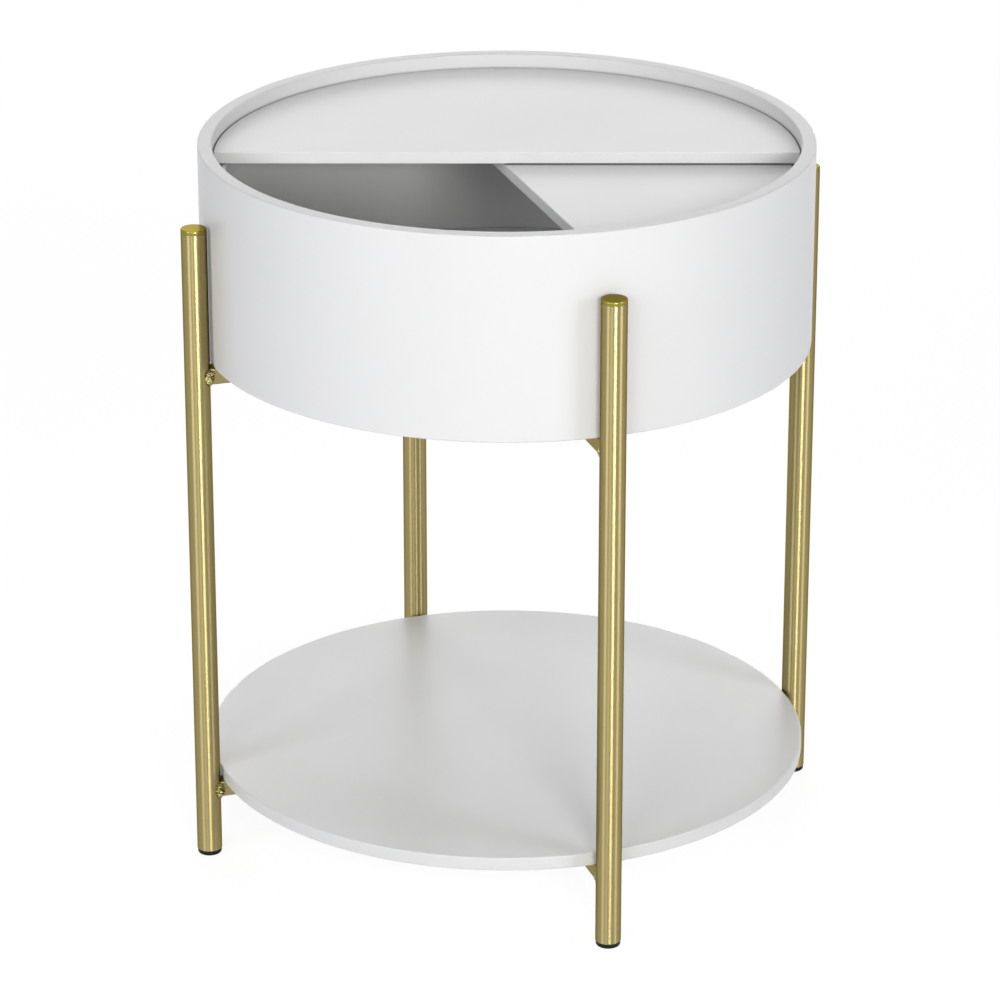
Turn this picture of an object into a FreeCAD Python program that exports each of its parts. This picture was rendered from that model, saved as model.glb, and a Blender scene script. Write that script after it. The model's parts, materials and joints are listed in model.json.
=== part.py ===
import FreeCAD, Part
import math
import os

# Round storage end table: a drum with a turning half lid, on four tube legs.
# Millimetres and degrees. Origin on the floor under the drum's axis, +Z up, front towards -Y.

# Drum
table_height = 551.0
drum_diameter = 458.0
drum_height = 154.0
drum_wall_thickness = 10.7
drum_floor_thickness = 10.5
board_edge_radius = 1.2
glue_line = 0.1

# Half lids: two half discs of the same board, one above the other
lid_recess = 11.0
lid_thickness = 9.0
lid_past_centre = 1.9
lid_wall_clearance = 0.8
lid_corner_radius = 1.5
lid_edge_radius = 0.8

# Hoop and rail that carry the lids
hoop_width = 10.0
hoop_height = 10.0
rail_end_gap = 0.3
groove_width = 3.6
groove_depth = 3.4

# Glides under the turning lid
glide_flange_diameter = 7.6
glide_flange_height = 0.6
glide_shank_diameter = 4.0
glide_shank_length = 5.5
guide_pin_diameter = 3.0
guide_pin_end_gap = 0.4
guide_pin_tip_radius = 0.5
glide_end_angle = 4.0
glide_count = 4

# Wood screws through the hoop
screw_diameter = 3.5
screw_head_diameter = 6.6
screw_head_height = 2.3
screw_head_rounding = 1.4
screw_skin = 1.0
screw_end_angle = 18.0
screws_per_half = 4

# Legs
leg_diameter = 19.05
leg_wall_thickness = 1.2
leg_drop_below_rim = 45.7
leg_gap = 1.9
frame_turn_angle = 18.1

# Plugs in the legs' ends
cap_rim_height = 3.0
cap_edge_radius = 0.8
foot_height = 4.0
foot_inset = 0.4
foot_edge_radius = 1.5
plug_stem_length = 14.0
plug_stem_gap = 0.7
plug_wall_thickness = 1.8
plug_fin_gap = 0.05
plug_fin_height = 1.0
plug_fin_pitch = 3.6
plug_fin_count = 3

# Square tube stubs welded to the legs
stub_size = 12.7
stub_wall_thickness = 1.2
stub_corner_radius = 1.5
stub_length = 90.0
weld_gap = 0.05
weld_radius = 2.4
weld_top_gap = 4.0

# Shelf
shelf_top_height = 71.0
shelf_thickness = 10.5
shelf_leg_gap = 1.4

# Bolts, washers and threaded inserts
bolt_diameter = 5.0
bolt_head_diameter = 9.4
bolt_head_height = 2.8
bolt_head_rounding = 2.0
bolt_engagement = 6.3
bolt_end_distance = 12.0
bolt_pitch = 22.0
bolt_hole_clearance = 0.25
hex_key_size = 3.0
hex_key_depth = 1.6
washer_diameter = 10.0
washer_thickness = 1.0
insert_diameter = 8.0
insert_length = 8.0
fit_clearance = 0.05

# Sizes that follow from those above
drum_radius = drum_diameter / 2
drum_bore_radius = drum_radius - drum_wall_thickness
drum_bottom = table_height - drum_height
glued_radius = drum_bore_radius - glue_line

lid_radius = drum_bore_radius - lid_wall_clearance
turning_lid_top = table_height - lid_recess
turning_lid_bottom = turning_lid_top - lid_thickness
fixed_lid_top = turning_lid_bottom - glide_flange_height
fixed_lid_bottom = fixed_lid_top - lid_thickness
hoop_bottom = fixed_lid_bottom - hoop_height
hoop_inner_radius = drum_bore_radius - hoop_width
groove_radius = (hoop_inner_radius + lid_radius) / 2
groove_bottom = fixed_lid_top - groove_depth

leg_radius = leg_diameter / 2
leg_bore_radius = leg_radius - leg_wall_thickness
leg_circle_radius = drum_radius + leg_gap + leg_radius
leg_top = table_height - leg_drop_below_rim
leg_angles = {
    "back_right": frame_turn_angle,
    "back_left": frame_turn_angle + 90,
    "front_left": frame_turn_angle + 180,
    "front_right": frame_turn_angle + 270,
}
turning_lid_angle = 90.0
fixed_lid_angle = leg_angles["back_right"]
rail_angle = leg_angles["front_left"]

shelf_bottom = shelf_top_height - shelf_thickness
shelf_radius = leg_circle_radius - leg_radius - shelf_leg_gap

stub_end_radius = leg_circle_radius - stub_length
bolt_radii = [stub_end_radius + bolt_end_distance + bolt_pitch * step for step in range(2)]

up = FreeCAD.Vector(0, 0, 1)
centre = FreeCAD.Vector(0, 0, 0)


def cylinder(radius, low, high, x=0.0, y=0.0):
    return Part.makeCylinder(radius, high - low, FreeCAD.Vector(x, y, low))


def ring(inner_radius, outer_radius, low, high):
    return cylinder(outer_radius, low, high).cut(cylinder(inner_radius, low, high))


def box(low_corner, high_corner):
    low = FreeCAD.Vector(*low_corner)
    size = FreeCAD.Vector(*high_corner) - low
    return Part.makeBox(size.x, size.y, size.z, low)


def round_level_edges(shape, heights, radius):
    # Rounds every edge that lies flat at one of the given heights.
    edges = []
    for edge in shape.Edges:
        extent = edge.BoundBox
        if any(abs(extent.ZMin - z) < 1e-4 and abs(extent.ZMax - z) < 1e-4 for z in heights):
            edges.append(edge)
    return shape.makeFillet(radius, edges)


def turned(shape, angle):
    return shape.rotated(centre, up, angle)


def placed(shape, radius, angle):
    # Moves a shape made on the axis out to a radius, then turns it about the drum's axis.
    return turned(shape.translated(FreeCAD.Vector(radius, 0, 0)), angle)


def spread(middle, half_span, count):
    # Evenly spaced angles on both sides of a middle direction.
    return [middle - half_span + 2 * half_span * step / (count - 1) for step in range(count)]


def half_space(angle, offset):
    # Everything further than offset along the given direction, tall and wide enough to cut with.
    reach = drum_diameter
    block = box((offset, -reach, 0), (offset + reach, reach, table_height))
    return turned(block, angle)


# Drum: bent wall and the floor let in flush at its bottom edge
def make_drum_wall():
    wall = ring(drum_bore_radius, drum_radius, drum_bottom, table_height)
    return round_level_edges(wall, (drum_bottom, table_height), board_edge_radius)


def make_insert_holes(face_height):
    holes = []
    for angle in leg_angles.values():
        for radius in bolt_radii:
            hole = cylinder(insert_diameter / 2 + fit_clearance, face_height, face_height + insert_length)
            holes.append(placed(hole, radius, angle))
    return holes


def make_drum_floor():
    panel = cylinder(glued_radius, drum_bottom, drum_bottom + drum_floor_thickness)
    return panel.cut(make_insert_holes(drum_bottom))


def make_shelf():
    panel = cylinder(shelf_radius, shelf_bottom, shelf_top_height)
    panel = round_level_edges(panel, (shelf_bottom, shelf_top_height), board_edge_radius)
    return panel.cut(make_insert_holes(shelf_bottom))


# Half lids: a disc cut just past its centre, with softened corners and edges
def make_half_lid(low, angle):
    high = low + lid_thickness
    disc = cylinder(lid_radius, low, high).common(half_space(0, -lid_past_centre))
    uprights = []
    for edge in disc.Edges:
        extent = edge.BoundBox
        if extent.ZLength > lid_thickness / 2 and extent.XMin < 0:
            uprights.append(edge)
    disc = disc.makeFillet(lid_corner_radius, uprights)
    disc = round_level_edges(disc, (low, high), lid_edge_radius)
    return turned(disc, angle)


def make_groove():
    # Round groove that the guide pins run in, cut from above.
    half_width = groove_width / 2
    return ring(groove_radius - half_width, groove_radius + half_width, groove_bottom, turning_lid_bottom)


hoop_middle_radius = (hoop_inner_radius + glued_radius) / 2
screw_tip = groove_bottom - screw_skin
glide_angles = spread(turning_lid_angle, 90 - glide_end_angle, glide_count)
screw_angles = spread(fixed_lid_angle, 90 - screw_end_angle, screws_per_half)
screw_angles += spread(rail_angle, 90 - screw_end_angle, screws_per_half)


def make_screw_holes():
    hole = cylinder(screw_diameter / 2 + fit_clearance, hoop_bottom, screw_tip)
    return [placed(hole, hoop_middle_radius, angle) for angle in screw_angles]


def make_fixed_lid():
    lid = make_half_lid(fixed_lid_bottom, fixed_lid_angle)
    return lid.cut([make_groove()] + make_screw_holes())


def make_turning_lid():
    lid = make_half_lid(turning_lid_bottom, turning_lid_angle)
    socket_top = turning_lid_bottom + glide_shank_length
    socket = cylinder(glide_shank_diameter / 2 + fit_clearance, turning_lid_bottom, socket_top)
    return lid.cut([placed(socket, groove_radius, angle) for angle in glide_angles])


# Hoop glued inside the wall, and the rail that fills its open half up to the fixed lid's top
def make_support_hoop():
    hoop = ring(hoop_inner_radius, glued_radius, hoop_bottom, fixed_lid_bottom)
    return hoop.cut(make_screw_holes())


def make_slide_rail():
    rail = ring(hoop_inner_radius, lid_radius, fixed_lid_bottom, fixed_lid_top)
    rail = rail.common(half_space(rail_angle, lid_past_centre + rail_end_gap))
    return rail.cut([make_groove()] + make_screw_holes())


def make_glides():
    pin_bottom = groove_bottom + guide_pin_end_gap
    shank_top = turning_lid_bottom + glide_shank_length
    pin = cylinder(guide_pin_diameter / 2, pin_bottom, fixed_lid_top)
    pin = round_level_edges(pin, (pin_bottom,), guide_pin_tip_radius)
    flange = cylinder(glide_flange_diameter / 2, fixed_lid_top, turning_lid_bottom)
    shank = cylinder(glide_shank_diameter / 2, turning_lid_bottom, shank_top)
    glide = pin.fuse([flange, shank])
    return [placed(glide, groove_radius, angle) for angle in glide_angles]


def make_support_screws():
    head_bottom = hoop_bottom - screw_head_height
    head = cylinder(screw_head_diameter / 2, head_bottom, hoop_bottom)
    head = round_level_edges(head, (head_bottom,), screw_head_rounding)
    screw = head.fuse(cylinder(screw_diameter / 2, hoop_bottom, screw_tip))
    return [placed(screw, hoop_middle_radius, angle) for angle in screw_angles]


# Legs: round tubes closed by a cap above and a foot below
def make_leg():
    return ring(leg_bore_radius, leg_radius, foot_height, leg_top - cap_rim_height)


def make_plug_stem(start, direction):
    # Hollow stem with thin fins that grip the tube's bore, running from start up or down.
    def level(low, high):
        return sorted((start + direction * low, start + direction * high))

    stem_radius = leg_bore_radius - plug_stem_gap
    stem = cylinder(stem_radius, *level(0, plug_stem_length))
    fins = []
    for step in range(plug_fin_count):
        low = plug_stem_length - (step + 1) * plug_fin_pitch
        fins.append(cylinder(leg_bore_radius - plug_fin_gap, *level(low, low + plug_fin_height)))
    hollow = cylinder(stem_radius - plug_wall_thickness, *level(plug_wall_thickness, plug_stem_length))
    return stem.fuse(fins).cut(hollow)


def make_cap():
    rim_bottom = leg_top - cap_rim_height
    rim = cylinder(leg_radius, rim_bottom, leg_top)
    rim = round_level_edges(rim, (leg_top,), cap_edge_radius)
    return rim.fuse(make_plug_stem(rim_bottom, -1))


def make_foot():
    pad = cylinder(leg_radius - foot_inset, 0, foot_height)
    pad = round_level_edges(pad, (0,), foot_edge_radius)
    return pad.fuse(make_plug_stem(foot_height, 1))


# Stubs: square tubes coped to the leg, made with the leg on +X and their top at face_height
def make_square_bar(size, corner_radius, face_height, inset):
    half = size / 2
    low = face_height - inset - size
    bar = box((stub_end_radius, -half, low), (leg_circle_radius, half, low + size))
    long_edges = [edge for edge in bar.Edges if edge.BoundBox.XLength > stub_length / 2]
    return bar.makeFillet(corner_radius, long_edges)


def make_stub(face_height):
    inner_size = stub_size - 2 * stub_wall_thickness
    inner_radius = stub_corner_radius - stub_wall_thickness
    outside = make_square_bar(stub_size, stub_corner_radius, face_height, 0)
    inside = make_square_bar(inner_size, inner_radius, face_height, stub_wall_thickness)
    cope = cylinder(leg_radius + weld_gap, 0, table_height, leg_circle_radius)
    hole_radius = bolt_diameter / 2 + bolt_hole_clearance
    holes = [cylinder(hole_radius, face_height - stub_size, face_height, radius) for radius in bolt_radii]
    return outside.cut([inside, cope] + holes)


def make_weld(face_height):
    # One round bead down both sides of the stub and under it, along the leg's surface.
    half = stub_size / 2
    low = face_height - stub_size
    high = face_height - weld_top_gap
    corner_angle = math.degrees(math.asin(half / leg_radius))
    corner_x = leg_circle_radius - leg_radius * math.cos(math.radians(corner_angle))
    pieces = []
    for side in (-half, half):
        pieces.append(cylinder(weld_radius, low, high, corner_x, side))
        for end in (low, high):
            pieces.append(Part.makeSphere(weld_radius, FreeCAD.Vector(corner_x, side, end)))
    bead_start = FreeCAD.Vector(leg_circle_radius - leg_radius, 0, low)
    leg_axis = FreeCAD.Vector(leg_circle_radius, 0, low)
    bead_circle = Part.makeCircle(weld_radius, bead_start, FreeCAD.Vector(0, 1, 0))
    bead_face = Part.Face(Part.Wire(bead_circle)).rotated(leg_axis, up, -corner_angle)
    under = bead_face.revolve(leg_axis, up, 2 * corner_angle)
    leg_space = cylinder(leg_radius, 0, table_height, leg_circle_radius)
    stub_space = make_square_bar(stub_size, stub_corner_radius, face_height, 0)
    return under.fuse(pieces).cut([leg_space, stub_space])


# Bolts, washers and inserts, each made on the axis below or above a board's face
def make_insert(face_height):
    bore_radius = bolt_diameter / 2 + fit_clearance
    return ring(bore_radius, insert_diameter / 2, face_height, face_height + insert_length)


def make_washer(face_height):
    seat = face_height - stub_size
    bore_radius = bolt_diameter / 2 + bolt_hole_clearance
    return ring(bore_radius, washer_diameter / 2, seat - washer_thickness, seat)


def make_bolt(face_height):
    seat = face_height - stub_size - washer_thickness
    head_bottom = seat - bolt_head_height
    head = cylinder(bolt_head_diameter / 2, head_bottom, seat)
    head = round_level_edges(head, (head_bottom,), bolt_head_rounding)
    shank = cylinder(bolt_diameter / 2, seat, face_height + bolt_engagement)
    hex_corner = FreeCAD.Vector(hex_key_size / math.sqrt(3), 0, head_bottom)
    hex_corners = [FreeCAD.Rotation(up, 60 * step).multVec(hex_corner) for step in range(6)]
    hex_outline = Part.makePolygon(hex_corners + hex_corners[:1])
    socket = Part.Face(hex_outline).extrude(up * hex_key_depth)
    return head.fuse(shank).cut(socket)


def at_every_bolt(shape):
    return [placed(shape, radius, angle) for angle in leg_angles.values() for radius in bolt_radii]


# Every node of the table: one solid, or a list of alike solids
nodes = {
    "drum_wall": make_drum_wall(),
    "drum_floor": make_drum_floor(),
    "support_hoop": make_support_hoop(),
    "slide_rail": make_slide_rail(),
    "fixed_half_lid": make_fixed_lid(),
    "turning_half_lid": make_turning_lid(),
    "lid_glides": make_glides(),
    "support_screws": make_support_screws(),
    "shelf": make_shelf(),
}

for place, angle in leg_angles.items():
    nodes["leg_" + place] = placed(make_leg(), leg_circle_radius, angle)
    nodes["cap_" + place] = placed(make_cap(), leg_circle_radius, angle)
    nodes["foot_" + place] = placed(make_foot(), leg_circle_radius, angle)

for board, face_height in (("drum", drum_bottom), ("shelf", shelf_bottom)):
    for place, angle in leg_angles.items():
        nodes[board + "_stub_" + place] = turned(make_stub(face_height), angle)
    nodes[board + "_welds"] = [turned(make_weld(face_height), angle) for angle in leg_angles.values()]
    nodes[board + "_inserts"] = at_every_bolt(make_insert(face_height))
    nodes[board + "_washers"] = at_every_bolt(make_washer(face_height))
    nodes[board + "_bolts"] = at_every_bolt(make_bolt(face_height))

os.makedirs("parts", exist_ok=True)
for name, shape in nodes.items():
    if isinstance(shape, list):
        shape = Part.makeCompound(shape)
    shape.exportStep("parts/" + name + ".step")
    print(name, "solids:", len(shape.Solids), "valid:", shape.isValid())
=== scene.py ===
import bpy
import json
import math
import numpy as np
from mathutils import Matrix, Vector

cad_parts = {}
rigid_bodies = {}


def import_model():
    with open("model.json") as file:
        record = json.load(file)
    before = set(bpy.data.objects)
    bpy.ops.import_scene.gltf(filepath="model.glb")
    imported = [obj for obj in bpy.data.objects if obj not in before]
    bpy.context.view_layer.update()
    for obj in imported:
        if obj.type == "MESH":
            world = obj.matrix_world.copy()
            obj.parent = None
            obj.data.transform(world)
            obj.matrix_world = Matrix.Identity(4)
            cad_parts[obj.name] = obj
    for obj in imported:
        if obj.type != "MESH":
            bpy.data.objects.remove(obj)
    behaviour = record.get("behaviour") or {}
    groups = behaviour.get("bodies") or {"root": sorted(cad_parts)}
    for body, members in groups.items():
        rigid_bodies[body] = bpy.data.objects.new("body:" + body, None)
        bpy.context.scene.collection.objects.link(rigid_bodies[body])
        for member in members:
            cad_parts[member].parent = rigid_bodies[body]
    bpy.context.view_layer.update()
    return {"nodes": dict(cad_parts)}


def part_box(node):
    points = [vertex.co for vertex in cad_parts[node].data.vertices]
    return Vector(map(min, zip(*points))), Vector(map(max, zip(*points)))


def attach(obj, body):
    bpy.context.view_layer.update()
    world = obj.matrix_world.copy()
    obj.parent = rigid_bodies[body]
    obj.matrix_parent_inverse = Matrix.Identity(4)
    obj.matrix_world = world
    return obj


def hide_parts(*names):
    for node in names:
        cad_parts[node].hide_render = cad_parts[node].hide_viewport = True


# Round storage end table: white drum and shelf on four gold tube legs.
# Metres, with the floor at z = 0 and the front towards -y. The pieces' and materials' dictionaries hold
# millimetres and degrees; those of the stage, the lamps and the camera hold metres and degrees.
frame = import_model()
scene = bpy.context.scene
mm = 0.001


# Colours, nodes and meshes
def toLinear(hexColour):
    # sRGB hex to linear RGBA
    channels = np.array([int(hexColour[i:i + 2], 16) for i in (1, 3, 5)]) / 255
    linear = np.where(channels <= 0.04045, channels / 12.92, ((channels + 0.055) / 1.055) ** 2.4)
    return (*linear.tolist(), 1.0)


def addNode(tree, kind, settings=None, links=None):
    # settings are the node's own properties or its inputs' values, links feed its inputs
    node = tree.nodes.new(kind)
    for key, value in (settings or {}).items():
        if isinstance(key, str) and hasattr(node, key):
            setattr(node, key, value)
        else:
            node.inputs[key].default_value = value
    for key, socket in (links or {}).items():
        tree.links.new(socket, node.inputs[key])
    return node


def newMaterial(name):
    # The material, its empty node tree and the Object coordinates
    material = bpy.data.materials.new(name)
    material.use_nodes = True
    tree = material.node_tree
    tree.nodes.clear()
    return material, tree, addNode(tree, "ShaderNodeTexCoord").outputs["Object"]


def buildPiece(name, grid, material, loopRows=False, loopColumns=True, poles=(None, None), tubeMap=None,
               sharp=None):
    # grid[row, column] is a point of the surface, or grid[copy, row, column] of several alike.
    # Neighbours are joined by quads, and poles close a surface's ends with fans.
    grid = grid.reshape(-1, *grid.shape[-3:])
    copies, rows, columns = grid.shape[:3]
    index = np.arange(copies * rows * columns).reshape(copies, rows, columns)
    index = np.concatenate([index, index[:, :1]], 1) if loopRows else index
    index = np.concatenate([index, index[:, :, :1]], 2) if loopColumns else index
    quads = np.stack([index[:, :-1, :-1], index[:, :-1, 1:], index[:, 1:, 1:], index[:, 1:, :-1]], -1)
    faces = quads.reshape(-1, 4).tolist()
    points = grid.reshape(-1, 3)
    for ring, pole, order in zip((index[:, 0], index[:, -1]), poles, (-1, 1)):
        if pole is not None:
            apex = len(points) + np.arange(copies)[:, None] + 0 * ring[:, 1:]
            points = np.vstack([points, np.reshape(pole, (copies, 3))])
            faces += np.stack([ring[:, :-1], ring[:, 1:], apex], -1).reshape(-1, 3)[:, ::order].tolist()
    mesh = bpy.data.meshes.new(name)
    mesh.from_pydata(points.tolist(), [], faces)
    if tubeMap is not None:
        corners = [tubeMap[:-1, :-1], tubeMap[:-1, 1:], tubeMap[1:, 1:], tubeMap[1:, :-1]]
        mesh.uv_layers.new(name="tubeMap").data.foreach_set("uv", np.stack(corners, 2).ravel())
    mesh.shade_smooth()
    if sharp:
        mesh.set_sharp_from_angle(angle=math.radians(sharp))
    mesh.materials.append(material)
    piece = bpy.data.objects.new(name, mesh)
    scene.collection.objects.link(piece)
    return piece


def dress(piece, body, slot, *nodes):
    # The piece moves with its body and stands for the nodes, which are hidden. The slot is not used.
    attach(piece, body)
    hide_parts(*nodes)


# Shapes
def roundCorners(corners, radii, steps=6, support=0.25 * mm):
    # Corners are complex (across, up), anticlockwise. Each becomes an arc tangent to its two sides,
    # centre = corner + bisector * radius / sin(half angle), with one point beyond each end of the arc
    # so that smooth shading leaves the flats flat. Row = corner, column = point.
    corners, radii = np.array(corners, complex), np.array(radii, float)
    before, after = np.roll(corners, 1) - corners, np.roll(corners, -1) - corners
    before, after = before / abs(before), after / abs(after)
    half = abs(np.angle(after / before)) / 2
    cut = radii / np.tan(half)
    centre = corners + (before + after) / abs(before + after) * radii / np.sin(half)
    start, end = corners + before * cut, corners + after * cut
    turned = np.outer(np.pi - 2 * half, np.linspace(0, 1, steps + 1))
    arc = centre[:, None] + (start - centre)[:, None] * np.exp(1j * turned)
    return np.hstack([(start + before * support)[:, None], arc, (end + after * support)[:, None]])


def turn(profile, centre=(0, 0), segments=360):
    # Lathe: centre + (r cos a, r sin a, z), one row for each point r + iz of the profile
    angle = np.linspace(0, 2 * np.pi, segments, endpoint=False)
    radius, height = profile.real[:, None], profile.imag[:, None] + 0 * angle
    return np.stack([centre[0] + radius * np.cos(angle), centre[1] + radius * np.sin(angle), height], -1)


def discProfile(radius, low, high, edge, steps=6, rings=4):
    # Solid disc from near the lower pole out, up the rounded edge and back in
    corners = [low * 1j, radius + low * 1j, radius + high * 1j, high * 1j]
    edgeArcs = roundCorners(corners, [0, edge, edge, 0], steps)
    inner = radius * np.linspace(0.2, 0.8, rings)
    return np.concatenate([inner + low * 1j, edgeArcs[1:3].ravel(), inner[::-1] + high * 1j])


def ringProfile(inner, outer, low, high, edge, steps=6):
    corners = [inner + low * 1j, outer + low * 1j, outer + high * 1j, inner + high * 1j]
    return roundCorners(corners, [edge] * 4, steps).ravel()


def sizeOf(node):
    low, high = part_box(node)
    return np.array(low), np.array(high)


def pointsOf(node):
    # All corner points of a node's mesh
    vertices = frame["nodes"][node].data.vertices
    points = np.empty(len(vertices) * 3)
    vertices.foreach_get("co", points)
    return points.reshape(-1, 3)


# Parts that the materials share; sizes of patterns are in millimetres
def addNoise(tree, place, size, detail):
    settings = {"Scale": 1 / (size * mm), "Detail": detail}
    return addNode(tree, "ShaderNodeTexNoise", settings, {"Vector": place}).outputs["Fac"]


def addTones(tree, share, first, second):
    # From the first colour to the second, by the share
    settings = {"data_type": "RGBA", 6: toLinear(first), 7: toLinear(second)}
    return addNode(tree, "ShaderNodeMix", settings, {0: share}).outputs[2]


def addOpenness(tree, reach, mapped):
    # How open the surface is within the reach, from 0 for shut in to 1, put through a map range
    openness = addNode(tree, "ShaderNodeAmbientOcclusion", {"samples": 4, "Distance": reach * mm})
    return addNode(tree, "ShaderNodeMapRange", mapped, {"Value": openness.outputs["AO"]}).outputs[0]


def addPaintedJointShade(tree, colour, look):
    # Painted shade: the shade tone takes over where another surface lies close by
    mapped = {"From Min": look["jointShut"], "From Max": look["jointClear"]}
    clear = addOpenness(tree, look["joint"], mapped)
    settings = {"data_type": "RGBA", 6: toLinear(look["jointShadeTone"])}
    return addNode(tree, "ShaderNodeMix", settings, {0: clear, 7: colour}).outputs[2]


def addGloss(tree, share, look):
    # Roughness that varies evenly about the look's gloss
    mapped = {"To Min": look["gloss"] - look["glossSpread"], "To Max": look["gloss"] + look["glossSpread"]}
    return addNode(tree, "ShaderNodeMapRange", mapped, {"Value": share}).outputs[0]


def addBump(tree, height, strength, depth):
    settings = {"Strength": strength, "Distance": depth * mm}
    return addNode(tree, "ShaderNodeBump", settings, {"Height": height}).outputs[0]


def addSurface(tree, settings, links):
    shader = addNode(tree, "ShaderNodeBsdfPrincipled", settings, links)
    addNode(tree, "ShaderNodeOutputMaterial", links={"Surface": shader.outputs[0]})


# Satin white lacquer, sprayed on board: even and soft, with a faint orange peel that shows in its gloss.
# Narrow joints get painted shade, darker where another surface lies close by. A sheltered board also gets
# soft painted shade near other boards.
def makeWhiteLacquer(name, colour, shade, paintedShelterShade=False):
    lacquer = {"mottle": 70, "peel": 3.5, "peelStrength": 0.25, "peelDepth": 0.012, "gloss": 0.36,
               "glossSpread": 0.04, "joint": 4, "jointShut": 0.2, "jointClear": 0.62, "jointShadeTone": "#7C7C7E",
               "shelter": 60, "shelterShut": 0.3, "shelterShadeLevel": 0.64}
    material, tree, place = newMaterial(name)
    mottle = addNoise(tree, place, lacquer["mottle"], 3)
    peel = addNoise(tree, place, lacquer["peel"], 1)
    # Painted shade in narrow joints, from ambient occlusion
    tone = addPaintedJointShade(tree, addTones(tree, mottle, colour, shade), lacquer)
    # Painted shade: the board's colour darkens softly within the shelter's reach of other boards
    if paintedShelterShade:
        mapped = {"From Min": lacquer["shelterShut"], "To Min": lacquer["shelterShadeLevel"]}
        share = addOpenness(tree, lacquer["shelter"], mapped)
        settings = {"data_type": "RGBA", "blend_type": "MULTIPLY", 0: 1.0}
        tone = addNode(tree, "ShaderNodeMix", settings, {6: tone, 7: share}).outputs[2]
    gloss = addGloss(tree, mottle, lacquer)
    bump = addBump(tree, peel, lacquer["peelStrength"], lacquer["peelDepth"])
    addSurface(tree, {"IOR": 1.5}, {"Base Color": tone, "Roughness": gloss, "Normal": bump})
    return material


# Brass plated steel tube, polished round the tube: lamps draw out into bright lines along it, and it
# darkens at its sides. Where pieces meet, painted shade darkens its colour. The polishing lines are coarser
# than real ones, to show at all.
def makePlatedTube():
    plating = {"colour": "#A29567", "deep": "#988A5E", "edge": "#A39878", "lines": 1.2, "drawnOut": 0.05,
               "cloud": 25, "gloss": 0.36, "joint": 4, "jointShut": 0.2, "jointClear": 0.7,
               "jointShadeTone": "#2E2A18"}
    material, tree, place = newMaterial("brassPlatedTube_polishedRound")
    stretch = (plating["drawnOut"], plating["drawnOut"], 1)
    drawn = addNode(tree, "ShaderNodeMapping", {"Scale": stretch}, {"Vector": place})
    lines = addNoise(tree, drawn.outputs[0], plating["lines"], 2)
    cloud = addNoise(tree, place, plating["cloud"], 2)
    worn = addNode(tree, "ShaderNodeMath", {"operation": "MULTIPLY"}, {0: cloud, 1: lines}).outputs[0]
    # Painted shade where another piece lies close by, from ambient occlusion
    colour = addPaintedJointShade(tree, addTones(tree, worn, plating["colour"], plating["deep"]), plating)
    tangent = addNode(tree, "ShaderNodeTangent", {"direction_type": "UV_MAP", "uv_map": "tubeMap"})
    settings = {"Metallic": 1.0, "Roughness": plating["gloss"], "Anisotropic": 1.0,
                "Specular Tint": toLinear(plating["edge"])}
    addSurface(tree, settings, {"Base Color": colour, "Tangent": tangent.outputs[0]})
    return material


# The same plating over a rough weld: glossy, uneven, darker in its hollows
def makePlatedWeld():
    plating = {"colour": "#B0A672", "hollow": "#6E6440", "grain": 1.2, "grainStrength": 0.6,
               "grainDepth": 0.3, "gloss": 0.28}
    material, tree, place = newMaterial("brassPlatedWeld_asWelded")
    grain = addNoise(tree, place, plating["grain"], 3)
    colour = addTones(tree, grain, plating["hollow"], plating["colour"])
    bump = addBump(tree, grain, plating["grainStrength"], plating["grainDepth"])
    settings = {"Metallic": 1.0, "Roughness": plating["gloss"]}
    addSurface(tree, settings, {"Base Color": colour, "Normal": bump})
    return material


# Moulded plastic, plated in a yellower gold than the tube: smooth and bright
def makePlatedPlastic():
    plastic = {"colour": "#968C44", "deep": "#8C823C", "edge": "#B4ABAE", "cloud": 6, "gloss": 0.2,
               "glossSpread": 0.04}
    material, tree, place = newMaterial("goldPlatedAbs_moulded")
    cloud = addNoise(tree, place, plastic["cloud"], 2)
    colour = addTones(tree, cloud, plastic["colour"], plastic["deep"])
    gloss = addGloss(tree, cloud, plastic)
    settings = {"Metallic": 1.0, "Specular Tint": toLinear(plastic["edge"])}
    addSurface(tree, settings, {"Base Color": colour, "Roughness": gloss})
    return material


# Plain moulded plastics: a fine spark-eroded grain from the mould
def makeMouldedPlastic(name, look):
    material, tree, place = newMaterial(name)
    grain = addNoise(tree, place, look["grain"], 2)
    colour = addTones(tree, grain, look["colour"], look["shade"])
    bump = addBump(tree, grain, look["grainStrength"], look["grainDepth"])
    settings = {"Roughness": look["gloss"], "IOR": look["ior"]}
    addSurface(tree, settings, {"Base Color": colour, "Normal": bump})
    return material


# Turned or stamped fasteners: plated, with a slightly uneven gloss
def makePlatedFastener(name, look):
    material, tree, place = newMaterial(name)
    cloud = addNoise(tree, place, look["cloud"], 3)
    colour = addTones(tree, cloud, look["colour"], look["shade"])
    addSurface(tree, {"Metallic": 1.0}, {"Base Color": colour, "Roughness": addGloss(tree, cloud, look)})
    return material


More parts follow.
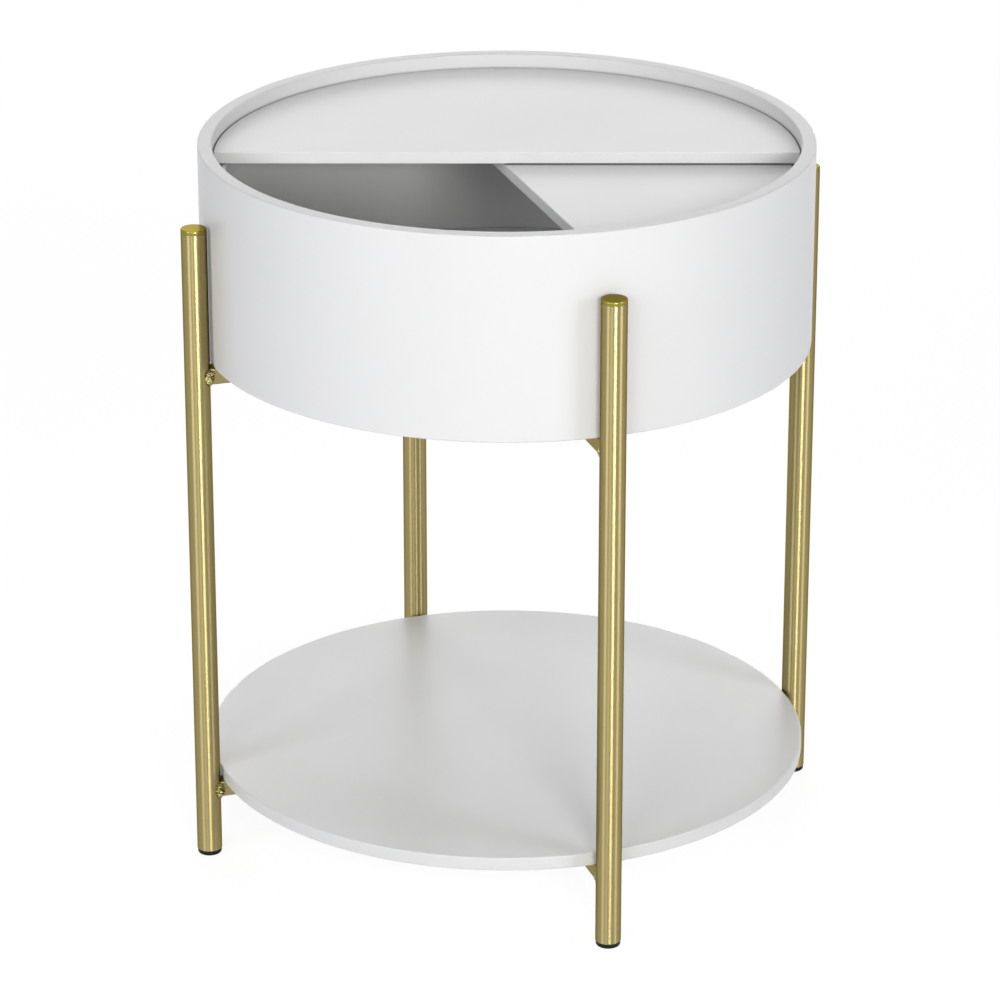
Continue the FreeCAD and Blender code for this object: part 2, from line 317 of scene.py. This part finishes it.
# Painted light and shade: the lacquer's copies differ in colour to set how bright each part renders
drumLacquer = makeWhiteLacquer("board_sprayedSatinWhite", "#E1E1E1", "#DEDEDE")
floorLacquer = makeWhiteLacquer("floorBoard_sprayedSatinWhite", "#F8F8F8", "#F5F5F5")
lidLacquer = makeWhiteLacquer("lidBoard_sprayedSatinWhite", "#FAFAFA", "#F7F7F7", paintedShelterShade=True)
platedTube = makePlatedTube()
platedWeld = makePlatedWeld()
platedPlastic = makePlatedPlastic()
blackPlastic = makeMouldedPlastic("blackPolypropylene_moulded", {
    "colour": "#0B0B0B", "shade": "#121211", "grain": 0.8, "grainStrength": 0.3, "grainDepth": 0.05,
    "gloss": 0.6, "ior": 1.3})
whiteNylon = makeMouldedPlastic("whiteNylon_moulded", {
    "colour": "#DEDDD8", "shade": "#D6D5CF", "grain": 1.2, "grainStrength": 0.3, "grainDepth": 0.03,
    "gloss": 0.42, "ior": 1.53})
zincSteel = makePlatedFastener("zincPlatedSteel_barrelPlated", {
    "colour": "#B9BCBE", "shade": "#A6ABAF", "cloud": 3, "gloss": 0.36, "glossSpread": 0.08})
brassInsert = makePlatedFastener("brass_turned", {
    "colour": "#C9AE6E", "shade": "#B59A5C", "cloud": 2, "gloss": 0.34, "glossSpread": 0.08})
print("materials made:", len(bpy.data.materials))


# Drum: bent wall, floor let in flush at the bottom, and the hoop that carries the lids
drum = {"edge": 1.2, "wall": 10.7, "jointEdge": 0.3}
wallLow, wallHigh = sizeOf("drum_wall")
wallOuter = wallHigh[0]
wallInner = wallOuter - drum["wall"] * mm
wallProfile = ringProfile(wallInner, wallOuter, wallLow[2], wallHigh[2], drum["edge"] * mm)
drumWall = buildPiece("drumWall", turn(wallProfile), drumLacquer, loopRows=True)
dress(drumWall, "table", "white_lacquer", "drum_wall")

floorLow, floorHigh = sizeOf("drum_floor")
floorProfile = discProfile(floorHigh[0], floorLow[2], floorHigh[2], drum["jointEdge"] * mm, 3)
floorPoles = ([0, 0, floorLow[2]], [0, 0, floorHigh[2]])
drumFloor = buildPiece("drumFloor", turn(floorProfile), floorLacquer, poles=floorPoles)
dress(drumFloor, "table", "white_lacquer", "drum_floor")

hoopLow, hoopHigh = sizeOf("support_hoop")
hoopInner = np.hypot(*pointsOf("support_hoop")[:, :2].T).min()
hoopProfile = ringProfile(hoopInner, hoopHigh[0], hoopLow[2], hoopHigh[2], drum["jointEdge"] * mm, 3)
supportHoop = buildPiece("supportHoop", turn(hoopProfile), drumLacquer, loopRows=True)
dress(supportHoop, "table", "white_lacquer", "support_hoop")
print("drum built")


# Turning half lid: a half disc cut just past its centre
def halfDiscOutline(radius, pastCentre, corner, arcSteps=240, cornerSteps=8, lineSteps=80):
    # Anticlockwise from the right corner: a small arc, the big arc, a small arc, then the straight edge.
    # The small arcs' centres lie at distance radius - corner from the axis, and at distance corner from the
    # straight edge.
    cornerHeight = corner - pastCentre
    cornerReach = math.sqrt((radius - corner) ** 2 - cornerHeight ** 2)
    tangentAngle = math.atan2(cornerHeight, cornerReach)
    rightAngles = np.linspace(-np.pi / 2, tangentAngle, cornerSteps, endpoint=False)
    bigAngles = np.linspace(tangentAngle, np.pi - tangentAngle, arcSteps, endpoint=False)
    leftAngles = np.linspace(np.pi - tangentAngle, 1.5 * np.pi, cornerSteps, endpoint=False)
    lineAcross = np.linspace(-cornerReach, cornerReach, lineSteps, endpoint=False)
    middle = cornerReach + 1j * cornerHeight
    points = np.concatenate([middle + corner * np.exp(1j * rightAngles),
                             radius * np.exp(1j * bigAngles),
                             -middle.conjugate() + corner * np.exp(1j * leftAngles),
                             lineAcross - 1j * pastCentre])
    outwards = np.concatenate([np.exp(1j * rightAngles), np.exp(1j * bigAngles), np.exp(1j * leftAngles),
                               np.full(lineSteps, -1j)])
    return points, outwards


def plateGrid(points, outwards, middle, low, high, edge, rings=4):
    # Rounded edge carried round the outline: point - inset * outwards; then rings shrink to the middle
    corners = [-1 + low * 1j, low * 1j, high * 1j, -1 + high * 1j]
    section = roundCorners(corners, [0, edge, edge, 0])[1:3].ravel()
    rim = points + section.real[:, None] * outwards
    shrink = np.linspace(0.25, 0.9, rings)[:, None]
    flat = middle + shrink * (rim[0] - middle)
    across = np.vstack([flat, rim, flat[::-1]])
    height = np.concatenate([np.full(rings, low), section.imag, np.full(rings, high)])
    return np.stack([across.real, across.imag, np.broadcast_to(height[:, None], across.shape)], -1)


# Its radius is a little larger than the solid's, so that the gap to the wall is as fine as in the photo
lid = {"corner": 1.5, "edge": 0.8, "closer": 0.35, "middleShare": 0.4}
lidLow, lidHigh = sizeOf("turning_half_lid")
lidRadius = lidHigh[0] + lid["closer"] * mm
lidPastCentre = -lidLow[1]
lidMiddle = lid["middleShare"] * lidRadius * 1j
lidPoints, lidOutwards = halfDiscOutline(lidRadius, lidPastCentre, lid["corner"] * mm)
lidGrid = plateGrid(lidPoints, lidOutwards, lidMiddle, lidLow[2], lidHigh[2], lid["edge"] * mm)
lidPoles = ([0, lidMiddle.imag, lidLow[2]], [0, lidMiddle.imag, lidHigh[2]])
turningLid = buildPiece("turningLid", lidGrid, lidLacquer, poles=lidPoles)
dress(turningLid, "lid", "white_lacquer", "turning_half_lid")
print("turning lid built")


# Shelf
shelf = {"edge": 1.2}
shelfLow, shelfHigh = sizeOf("shelf")
shelfProfile = discProfile(shelfHigh[0], shelfLow[2], shelfHigh[2], shelf["edge"] * mm)
shelfPoles = ([0, 0, shelfLow[2]], [0, 0, shelfHigh[2]])
shelfBoard = buildPiece("shelfBoard", turn(shelfProfile), drumLacquer, poles=shelfPoles)
dress(shelfBoard, "table", "white_lacquer", "shelf")
print("shelf built")


# Legs: tube, cap and foot at each of the four places. The rings are shares of the cap's and foot's radius.
leg = {"wall": 1.2, "edge": 0.25, "rows": 40, "capEdge": 0.8, "capRing": 0.4, "footEdge": 1.5,
       "footRing": 0.5, "stemGap": 0.7}
places = ["back_right", "back_left", "front_left", "front_right"]


def tubeGrid(centre, radius, low, high, segments=128):
    # Closed tube: up the outside, over the rounded end, down the inside. The map runs along it and round it.
    inner = radius - leg["wall"] * mm
    corners = [inner + low * 1j, radius + low * 1j, radius + high * 1j, inner + high * 1j]
    arcs = roundCorners(corners, [leg["edge"] * mm] * 4, 4)
    outside = radius + 1j * np.linspace(low, high, leg["rows"])[1:-1]
    profile = np.concatenate([arcs[1], outside, arcs[2], arcs[3], arcs[0]])
    along = np.append(profile.imag, profile.imag[0]) - low
    around = np.linspace(0, 1, segments + 1)
    tubeMap = np.stack(np.meshgrid(along, around, indexing="ij"), -1)
    return turn(profile, centre, segments), tubeMap


for place in places:
    tubeLow, tubeHigh = sizeOf("leg_" + place)
    centre = (tubeLow + tubeHigh)[:2] / 2
    radius = (tubeHigh - tubeLow)[0] / 2
    grid, tubeMap = tubeGrid(centre, radius, tubeLow[2], tubeHigh[2])
    tube = buildPiece("legTube_" + place, grid, platedTube, loopRows=True, tubeMap=tubeMap)
    dress(tube, "table", "gold_metal", "leg_" + place)

    capLow, capHigh = sizeOf("cap_" + place)
    seat = tubeHigh[2]
    stemRadius = radius - (leg["wall"] + leg["stemGap"]) * mm
    capCorners = [seat * 1j, radius + seat * 1j, radius + capHigh[2] * 1j, capHigh[2] * 1j]
    capArcs = roundCorners(capCorners, [0, leg["edge"] * mm, leg["capEdge"] * mm, 0])
    capStem = [stemRadius + capLow[2] * 1j, stemRadius + seat * 1j]
    capTop = [leg["capRing"] * radius + capHigh[2] * 1j]
    capProfile = np.concatenate([capStem, capArcs[1:3].ravel(), capTop])
    capPoles = ([*centre, capLow[2]], [*centre, capHigh[2]])
    cap = buildPiece("legCap_" + place, turn(capProfile, centre, 96), platedPlastic, poles=capPoles)
    dress(cap, "table", "gold_plastic", "cap_" + place)

    footLow, footHigh = sizeOf("foot_" + place)
    footRadius = (footHigh - footLow)[0] / 2
    seat = tubeLow[2]
    footCorners = [footLow[2] * 1j, footRadius + footLow[2] * 1j, footRadius + seat * 1j, seat * 1j]
    footArcs = roundCorners(footCorners, [0, leg["footEdge"] * mm, leg["edge"] * mm, 0])
    footSole = [leg["footRing"] * footRadius + footLow[2] * 1j]
    footStem = [stemRadius + seat * 1j, stemRadius + footHigh[2] * 1j]
    footProfile = np.concatenate([footSole, footArcs[1:3].ravel(), footStem])
    footPoles = ([*centre, footLow[2]], [*centre, footHigh[2]])
    foot = buildPiece("legFoot_" + place, turn(footProfile, centre, 96), blackPlastic, poles=footPoles)
    dress(foot, "table", "black_plastic", "foot_" + place)
print("legs built")


# Stubs: square tube, coped to the leg, its top against the board
stub = {"size": 12.7, "wall": 1.2, "corner": 1.3, "rows": 12, "sharpFrom": 40}


def squareOutline(size, corner, steps=6):
    # Rounded square about the origin, anticlockwise, as across + i up
    half = size / 2
    corners = [half - half * 1j, half + half * 1j, -half + half * 1j, -half - half * 1j]
    return roundCorners(corners, [corner] * 4, steps).ravel()


def stubGrid(towardsLeg, innerEnd, legDistance, legRadius, middleHeight):
    # Outside from the open end to the leg, then back inside: along = distance from the drum's axis. The end
    # at the leg is coped: along = legDistance - sqrt(legRadius^2 - across^2)
    outer = squareOutline(stub["size"] * mm, stub["corner"] * mm)
    inner = squareOutline((stub["size"] - 2 * stub["wall"]) * mm, (stub["corner"] - stub["wall"]) * mm)
    share = np.linspace(0, 1, stub["rows"])[:, None]
    outline = np.vstack([outer + 0 * share, inner + 0 * share])
    cope = legDistance - np.sqrt(legRadius ** 2 - outline.real ** 2)
    along = innerEnd + np.vstack([share, share[::-1]]) * (cope - innerEnd)
    sideways = np.array([-towardsLeg[1], towardsLeg[0]])
    level = along[..., None] * towardsLeg + outline.real[..., None] * sideways
    return np.concatenate([level, outline.imag[..., None] + middleHeight], -1)


def lengthwiseMap(grid, direction):
    # Map that runs along a direction, then round the piece, for the plating's polishing lines
    along = np.pad(grid @ direction, ((0, 1), (0, 1)), "wrap")
    around = np.broadcast_to(np.linspace(0, 1, along.shape[1]), along.shape)
    return np.stack([along, around], -1)


for board in ("drum", "shelf"):
    for place in places:
        node = board + "_stub_" + place
        legLow, legHigh = sizeOf("leg_" + place)
        legCentre = (legLow + legHigh)[:2] / 2
        legDistance = np.hypot(*legCentre)
        towardsLeg = legCentre / legDistance
        stubPoints = pointsOf(node)
        innerEnd = (stubPoints[:, :2] @ towardsLeg).min()
        middleHeight = (stubPoints[:, 2].max() + stubPoints[:, 2].min()) / 2
        grid = stubGrid(towardsLeg, innerEnd, legDistance, (legHigh - legLow)[0] / 2, middleHeight)
        tubeMap = lengthwiseMap(grid, [*towardsLeg, 0])
        piece = buildPiece(board + "Stub_" + place, grid, platedTube, loopRows=True, tubeMap=tubeMap,
                           sharp=stub["sharpFrom"])
        dress(piece, "table", "gold_metal", node)
print("stubs built")

# Welds: a lumpy bead where each stub meets its leg, down one side, under it and up the other.
# Under and girth are shares of its radius, and steepest is the most waves in one lump's length.
weld = {"radius": 2.4, "topGap": 0.4, "under": 0.35, "lump": 2.0, "lumpDepth": 0.26, "waves": 14,
        "steepest": 1.2, "seed": 7,
        "girth": {"back_right": 0.85, "back_left": 0.85, "front_left": 1.6, "front_right": 1.1}}


def weldGrid(legCentre, legRadius, faceHeight, girth, chance, rows=140, columns=28):
    # Line of the bead, unrolled on the leg: half a superellipse, walked in even steps,
    # (turn / widest)^6 + (drop / deepest)^6 = 1. Round it runs a tube whose radius rises and falls in
    # random waves, and which thins towards its ends and under the stub.
    inwards = -legCentre / np.hypot(*legCentre)
    sideways = np.array([-inwards[1], inwards[0]])
    widest = math.asin(stub["size"] / 2 * mm / legRadius)
    deepest = (stub["size"] - weld["topGap"]) * mm
    fine = np.linspace(0, np.pi, 4000)
    turnFine = widest * np.sign(np.cos(fine)) * abs(np.cos(fine)) ** (1 / 3)
    dropFine = deepest * np.sin(fine) ** (1 / 3)
    walked = np.append(0, np.cumsum(np.hypot(np.diff(turnFine) * legRadius, np.diff(dropFine))))
    step = np.linspace(0, walked[-1], rows)
    turnAngle, drop = np.interp(step, walked, turnFine), np.interp(step, walked, dropFine)
    outwards = np.cos(turnAngle)[:, None] * inwards + np.sin(turnAngle)[:, None] * sideways
    outwards = np.column_stack([outwards, np.zeros(rows)])
    height = faceHeight - weld["topGap"] * mm - drop
    line = np.column_stack([legCentre + legRadius * outwards[:, :2], height])
    forwards = np.gradient(line, axis=0)
    forwards /= np.linalg.norm(forwards, axis=1)[:, None]
    across = np.cross(forwards, outwards)
    around = np.linspace(0, 2 * np.pi, columns, endpoint=False)
    wave = chance.uniform(-weld["steepest"], weld["steepest"], weld["waves"])
    phase = chance.uniform(0, 2 * np.pi, weld["waves"])
    lumps = sum(np.sin(2 * np.pi * w * step[:, None] / (weld["lump"] * mm) + (n % 5 + 1) * around + p)
                for n, (w, p) in enumerate(zip(wave, phase))) / 4
    ends = np.sqrt(1 - abs(2 * step / step[-1] - 1) ** 10)
    ends *= weld["under"] + (1 - weld["under"]) * (turnAngle / widest) ** 8
    bead = girth * mm * ends[:, None] * (1 + weld["lumpDepth"] * lumps)
    section = np.cos(around)[:, None] * outwards[:, None] + np.sin(around)[:, None] * across[:, None]
    return line[:, None] + bead[..., None] * section


chance = np.random.default_rng(weld["seed"])
for board, face in (("drum", wallLow[2]), ("shelf", shelfLow[2])):
    beads = []
    for place in places:
        legLow, legHigh = sizeOf("leg_" + place)
        girth = weld["radius"] * weld["girth"][place]
        beads.append(weldGrid((legLow + legHigh)[:2] / 2, (legHigh - legLow)[0] / 2, face, girth, chance))
    beads = np.array(beads)
    ends = (beads[:, 0].mean(1), beads[:, -1].mean(1))
    piece = buildPiece(board + "Welds", beads[:, 1:-1], platedWeld, poles=ends)
    dress(piece, "table", "gold_metal", board + "_welds")
print("welds built")

# Pieces that keep their solids and get a finish
finishes = {"fixed_half_lid": lidLacquer, "slide_rail": whiteNylon, "lid_glides": whiteNylon,
            "support_screws": zincSteel, "drum_inserts": brassInsert, "shelf_inserts": brassInsert,
            "drum_washers": zincSteel, "shelf_washers": zincSteel, "drum_bolts": zincSteel,
            "shelf_bolts": zincSteel}
for node, material in finishes.items():
    mesh = frame["nodes"][node].data
    mesh.materials.clear()
    mesh.materials.append(material)
print("kept solids finished")


# Stage: pale floor and white surround, which show as white and keep the table's soft shadow
stage = {"size": 30, "lower": 0.0002, "pale": "#E6E6E6", "shadowShare": 0.22, "lift": 0.88,
         "whiteFrom": 1.2, "whiteAt": 2.2, "ambient": "#FFFFFF", "ambientLevel": 0.08}


def showsWhite(tree):
    # 1 for rays from the camera, from gloss and through glass
    path = addNode(tree, "ShaderNodeLightPath")
    first = addNode(tree, "ShaderNodeMath", {"operation": "MAXIMUM"},
                    {0: path.outputs["Is Camera Ray"], 1: path.outputs["Is Glossy Ray"]})
    both = addNode(tree, "ShaderNodeMath", {"operation": "MAXIMUM"},
                   {0: first.outputs[0], 1: path.outputs["Is Transmission Ray"]})
    return both.outputs[0]


def makeFloor():
    material, tree, place = newMaterial("floor_paleMatt")
    plain = addNode(tree, "ShaderNodeBsdfDiffuse", {"Color": toLinear(stage["pale"])})
    faint = addNode(tree, "ShaderNodeBsdfDiffuse", {"Color": (*[stage["shadowShare"]] * 3, 1)})
    lift = addNode(tree, "ShaderNodeEmission", {"Strength": stage["lift"]})
    near = addNode(tree, "ShaderNodeAddShader", links={0: faint.outputs[0], 1: lift.outputs[0]})
    # Far from the table the floor shows plain white, as the surround does
    reach = addNode(tree, "ShaderNodeVectorMath", {"operation": "LENGTH"}, {0: place})
    mapped = {"From Min": stage["whiteFrom"], "From Max": stage["whiteAt"]}
    away = addNode(tree, "ShaderNodeMapRange", mapped, {"Value": reach.outputs["Value"]})
    far = addNode(tree, "ShaderNodeEmission", {"Strength": 1.0})
    shown = addNode(tree, "ShaderNodeMixShader",
                    links={0: away.outputs[0], 1: near.outputs[0], 2: far.outputs[0]})
    mixed = addNode(tree, "ShaderNodeMixShader",
                    links={0: showsWhite(tree), 1: plain.outputs[0], 2: shown.outputs[0]})
    addNode(tree, "ShaderNodeOutputMaterial", links={"Surface": mixed.outputs[0]})
    half = stage["size"] / 2
    across, back = np.meshgrid([-half, half], [-half, half])
    grid = np.stack([across, back, np.full_like(across, -stage["lower"])], -1)
    piece = buildPiece("floor", grid, material, loopColumns=False)


def makeWorld():
    world = bpy.data.worlds.new("studio")
    scene.world = world
    world.use_nodes = True
    tree = world.node_tree
    tree.nodes.clear()
    ambient = addNode(tree, "ShaderNodeBackground",
                      {"Color": toLinear(stage["ambient"]), "Strength": stage["ambientLevel"]})
    white = addNode(tree, "ShaderNodeBackground", {"Color": (1, 1, 1, 1), "Strength": 1.0})
    mixed = addNode(tree, "ShaderNodeMixShader",
                    links={0: showsWhite(tree), 1: ambient.outputs[0], 2: white.outputs[0]})
    addNode(tree, "ShaderNodeOutputWorld", links={"Surface": mixed.outputs[0]})


makeFloor()
makeWorld()

# Lamps: side is degrees to the right of the camera, seen from the table. Each faces the table's axis at
# the height of its aim. The glint lights only the gold pieces, without those at the back left, which stand
# in the drum's shade.
plainLamp = {"colour": "#FFFFFF", "aim": 0.3, "spread": 180, "goldOnly": False}
lamps = {
    "key": {"side": 13, "distance": 3.0, "height": 1.34, "width": 0.7, "tall": 0.5, "watts": 35,
            "colour": "#FFFEFA"},
    "front": {"side": -18, "distance": 3.0, "height": 1.45, "width": 1.0, "tall": 1.0, "watts": 19.1},
    "left": {"side": -47, "distance": 2.6, "height": 0.95, "width": 0.9, "tall": 1.9, "watts": 22.3,
             "colour": "#F6F8FF"},
    "right": {"side": 60, "distance": 2.6, "height": 0.95, "width": 0.8, "tall": 1.9, "watts": 23.9,
              "colour": "#F6F8FF"},
    "back": {"side": 180, "distance": 3.0, "height": 1.6, "width": 3.0, "tall": 1.2, "watts": 16.8},
    "backTop": {"side": 180, "distance": 1.6, "height": 2.6, "width": 1.5, "tall": 1.5, "watts": 12.1},
    "rear": {"side": 180, "distance": 3.0, "height": 0.07, "width": 2.4, "tall": 0.12, "watts": 24,
             "aim": 0.45},
    "glint": {"side": 13, "distance": 3.0, "height": 0.85, "width": 0.9, "tall": 1.0, "watts": 4.4,
              "aim": 0.85, "spread": 36, "goldOnly": True},
}
goldNames = ("legTube", "legCap", "drumStub", "shelfStub", "drumWelds", "shelfWelds")
goldPieces = bpy.data.collections.new("goldPieces")
for piece in scene.collection.objects:
    if piece.name.startswith(goldNames) and not piece.name.endswith("back_left"):
        goldPieces.objects.link(piece)
for name, own in lamps.items():
    lamp = {**plainLamp, **own}
    light = bpy.data.lights.new(name + "Lamp", "AREA")
    light.shape = "RECTANGLE"
    light.size, light.size_y = lamp["width"], lamp["tall"]
    light.energy = lamp["watts"]
    light.color = toLinear(lamp["colour"])[:3]
    light.spread = math.radians(lamp["spread"])
    holder = bpy.data.objects.new(name + "Lamp", light)
    side, distance, height = math.radians(lamp["side"]), lamp["distance"], lamp["height"]
    holder.location = (distance * math.sin(side), -distance * math.cos(side), height)
    holder.rotation_euler = (math.atan2(distance, height - lamp["aim"]), 0, side)
    holder.visible_camera = False
    if lamp["goldOnly"]:
        holder.light_linking.receiver_collection = goldPieces
    scene.collection.objects.link(holder)

# Camera: long lens, a little above the table, looking slightly down
view = {"place": (-0.00509, -3.1996, 1.5516), "tilt": 68.04, "lens": 162.49, "sensor": 36}
camera = bpy.data.objects.new("camera", bpy.data.cameras.new("camera"))
camera.location = view["place"]
camera.rotation_euler = (math.radians(view["tilt"]), 0, 0)
camera.data.lens = view["lens"]
camera.data.sensor_width = view["sensor"]
scene.collection.objects.link(camera)
scene.camera = camera
scene.view_settings.view_transform = "Standard"
print("stage, lamps and camera set")
